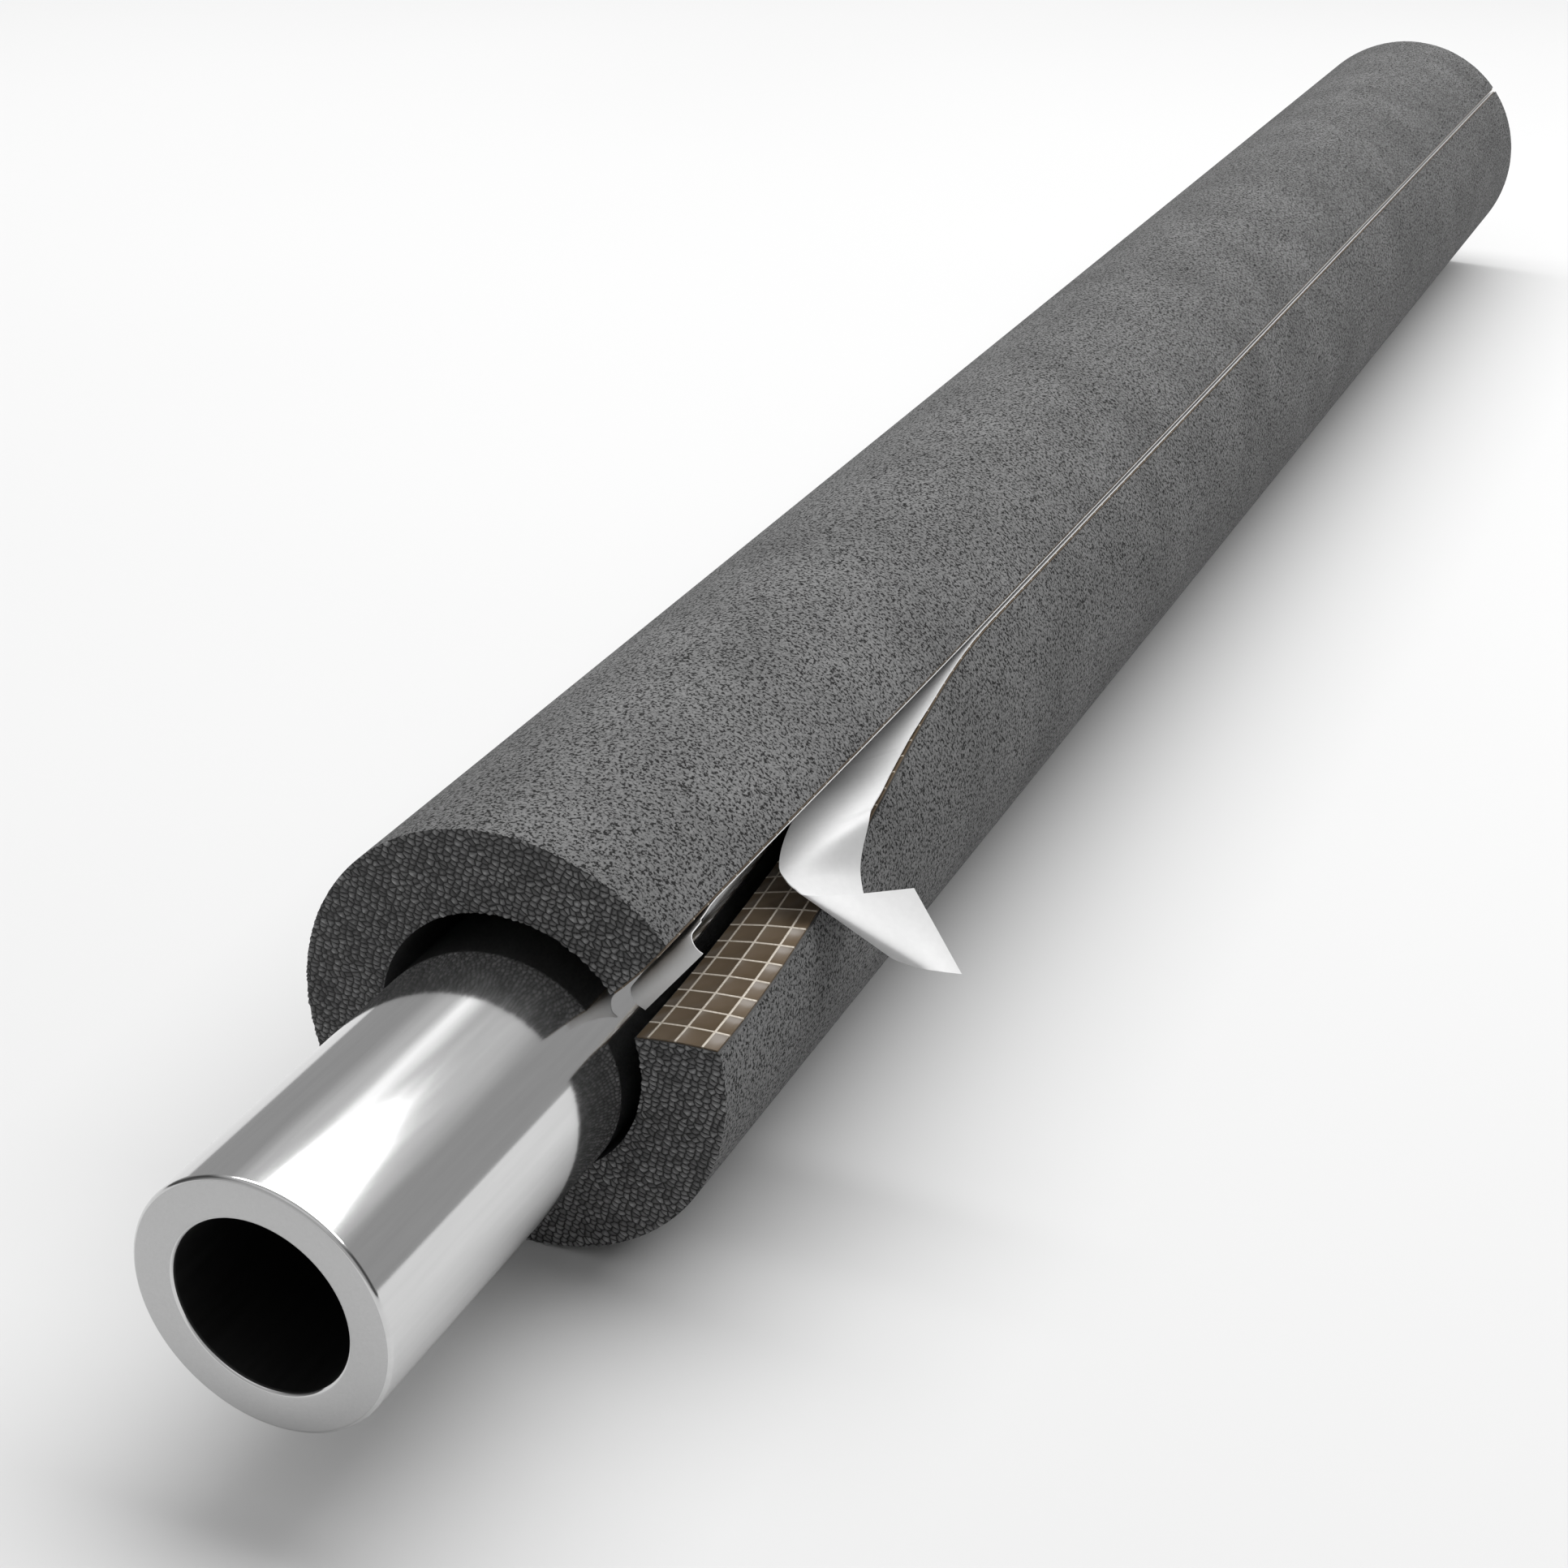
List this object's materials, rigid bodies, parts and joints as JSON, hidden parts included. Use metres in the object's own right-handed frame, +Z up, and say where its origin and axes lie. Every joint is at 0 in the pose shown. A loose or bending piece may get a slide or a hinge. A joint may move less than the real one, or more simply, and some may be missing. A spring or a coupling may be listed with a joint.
{
  "type": "pipe insulation lagging",
  "caption": "Slit foam tube with adhesive strips and peeled release liners along its slit, fitted on a length of steel pipe.",
  "frame": {"origin": "bottom centre of the whole part's box, on the floor that the tube lies on", "axes": "+Y along the tube from its exposed pipe end to its closed end, +Z up, slit on the +X side"},
  "size_m": [0.088, 0.637, 0.0679],
  "materials": {
    "foam": "mottled charcoal foam skin, open cells on the cut ends",
    "adhesive": "glossy brown adhesive tape with a pale scrim grid",
    "release_paper": "satin white silicone paper",
    "pipe_steel": "bright polished pipe, satin cut end"
  },
  "bodies": {
    "root": {"foam_tube": "foam", "adhesive_strip_upper": "adhesive", "adhesive_strip_lower": "adhesive", "release_liner_lower": "release_paper", "release_liner_upper": "release_paper", "steel_pipe": "pipe_steel"}
  },
  "joints": []
}
